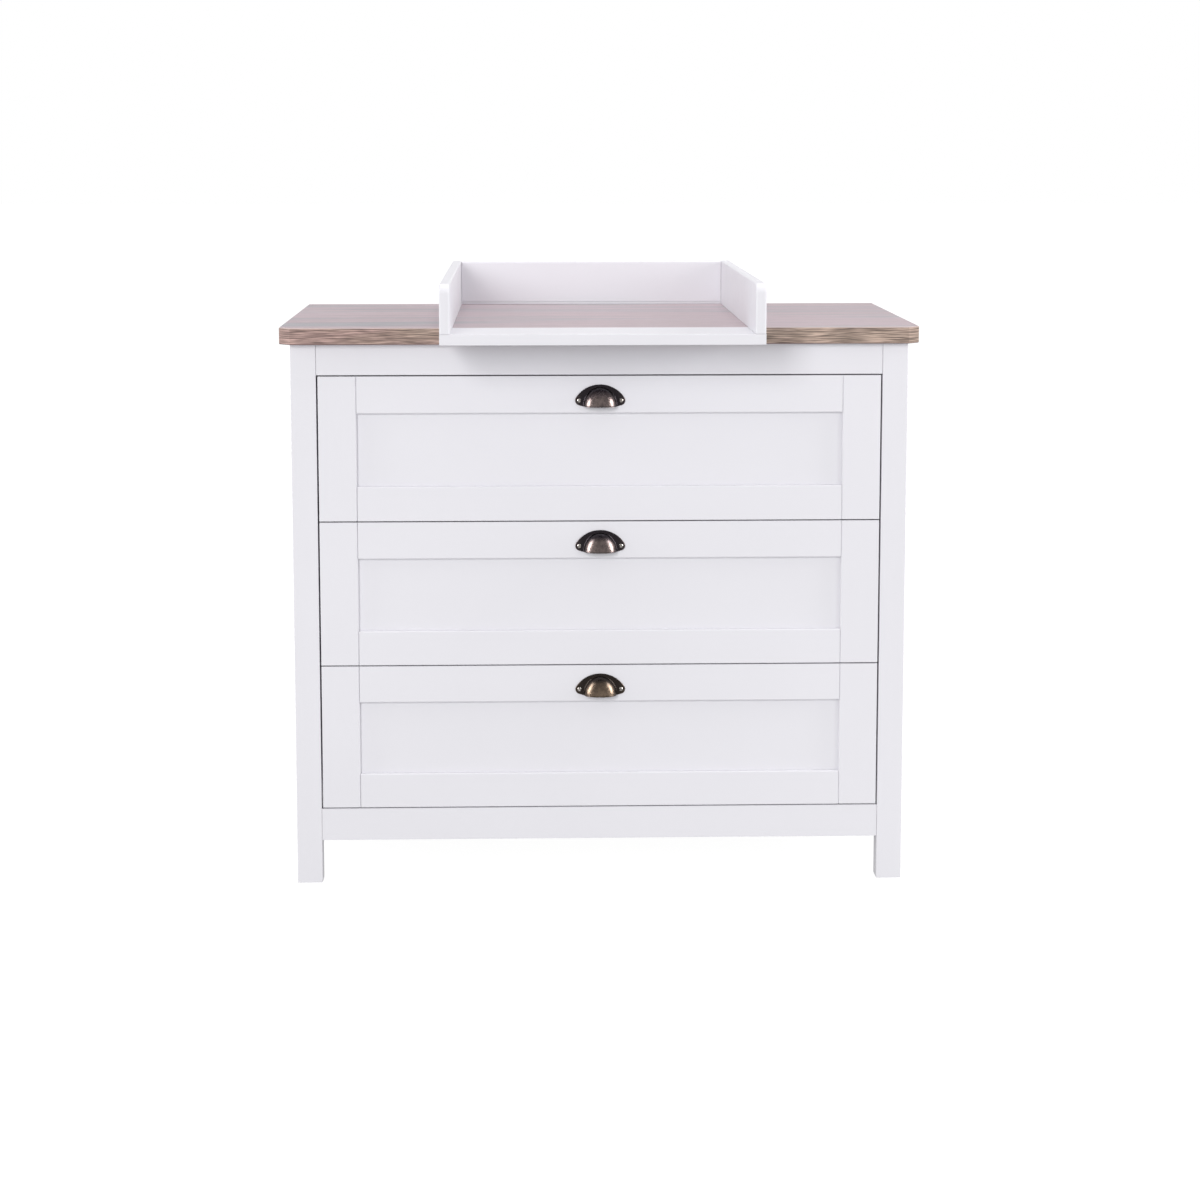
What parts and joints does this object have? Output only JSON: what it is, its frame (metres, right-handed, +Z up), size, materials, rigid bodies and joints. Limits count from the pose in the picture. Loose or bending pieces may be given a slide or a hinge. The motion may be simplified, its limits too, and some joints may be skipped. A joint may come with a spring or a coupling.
{
  "type": "changing table",
  "caption": "Dresser on corner posts with shaker drawers on runners, cup pulls, a wood-decor worktop and a lift-off open changing tray that overhangs the front.",
  "frame": {"origin": "on the floor, in the middle of the footprint from the tray's front edge to the worktop's back edge", "axes": "+X to the right as seen from the front, +Y to the back, +Z up; the front with the drawers faces -Y"},
  "size_m": [1.002, 0.7, 0.967],
  "materials": {
    "white_paint": "satin white lacquer on board and solid wood",
    "worktop_decor": "matt greyed-oak decor, brown oak on the edge",
    "drawer_box_white": "white melamine on particle board",
    "back_board": "thin white-faced fibreboard",
    "runner_steel": "zinc-plated sheet steel",
    "antique_bronze": "dark antique bronze, rubbed bright on the high places"
  },
  "bodies": {
    "carcass": {"worktop": "worktop_decor", "front_left_post": "white_paint", "back_left_post": "white_paint", "left_side_panel": "white_paint", "front_right_post": "white_paint", "back_right_post": "white_paint", "right_side_panel": "white_paint", "front_top_rail": "white_paint", "front_bottom_rail": "white_paint", "back_top_rail": "white_paint", "back_bottom_rail": "white_paint", "back_panel": "back_board", "runner_1_left_cabinet_member": "runner_steel", "runner_1_right_cabinet_member": "runner_steel", "runner_2_left_cabinet_member": "runner_steel", "runner_2_right_cabinet_member": "runner_steel", "runner_3_left_cabinet_member": "runner_steel", "runner_3_right_cabinet_member": "runner_steel"},
    "drawer_1": {"drawer_1_front_left_stile": "white_paint", "drawer_1_front_right_stile": "white_paint", "drawer_1_front_top_rail": "white_paint", "drawer_1_front_bottom_rail": "white_paint", "drawer_1_front_panel": "white_paint", "drawer_1_box_left_side": "drawer_box_white", "drawer_1_box_right_side": "drawer_box_white", "drawer_1_box_back": "drawer_box_white", "drawer_1_box_bottom": "drawer_box_white", "drawer_1_cup_pull": "antique_bronze", "runner_1_left_drawer_member": "runner_steel", "runner_1_right_drawer_member": "runner_steel"},
    "drawer_2": {"drawer_2_front_left_stile": "white_paint", "drawer_2_front_right_stile": "white_paint", "drawer_2_front_top_rail": "white_paint", "drawer_2_front_bottom_rail": "white_paint", "drawer_2_front_panel": "white_paint", "drawer_2_box_left_side": "drawer_box_white", "drawer_2_box_right_side": "drawer_box_white", "drawer_2_box_back": "drawer_box_white", "drawer_2_box_bottom": "drawer_box_white", "drawer_2_cup_pull": "antique_bronze", "runner_2_left_drawer_member": "runner_steel", "runner_2_right_drawer_member": "runner_steel"},
    "drawer_3": {"drawer_3_front_left_stile": "white_paint", "drawer_3_front_right_stile": "white_paint", "drawer_3_front_top_rail": "white_paint", "drawer_3_front_bottom_rail": "white_paint", "drawer_3_front_panel": "white_paint", "drawer_3_box_left_side": "drawer_box_white", "drawer_3_box_right_side": "drawer_box_white", "drawer_3_box_back": "drawer_box_white", "drawer_3_box_bottom": "drawer_box_white", "drawer_3_cup_pull": "antique_bronze", "runner_3_left_drawer_member": "runner_steel", "runner_3_right_drawer_member": "runner_steel"},
    "tray": {"tray_left_side": "white_paint", "tray_right_side": "white_paint", "tray_back_panel": "white_paint", "tray_foot_strip": "white_paint", "tray_front_board": "white_paint"}
  },
  "joints": [
    {"name": "drawer_1_slide", "type": "slide", "parent": "carcass", "child": "drawer_1", "axis": [0, -1, 0], "range_m": [0, 0.36]},
    {"name": "drawer_2_slide", "type": "slide", "parent": "carcass", "child": "drawer_2", "axis": [0, -1, 0], "range_m": [0, 0.36]},
    {"name": "drawer_3_slide", "type": "slide", "parent": "carcass", "child": "drawer_3", "axis": [0, -1, 0], "range_m": [0, 0.36]},
    {"name": "tray_lift", "type": "slide", "parent": "carcass", "child": "tray", "axis": [0, 0, 1], "range_m": [0, 0.15]}
  ]
}
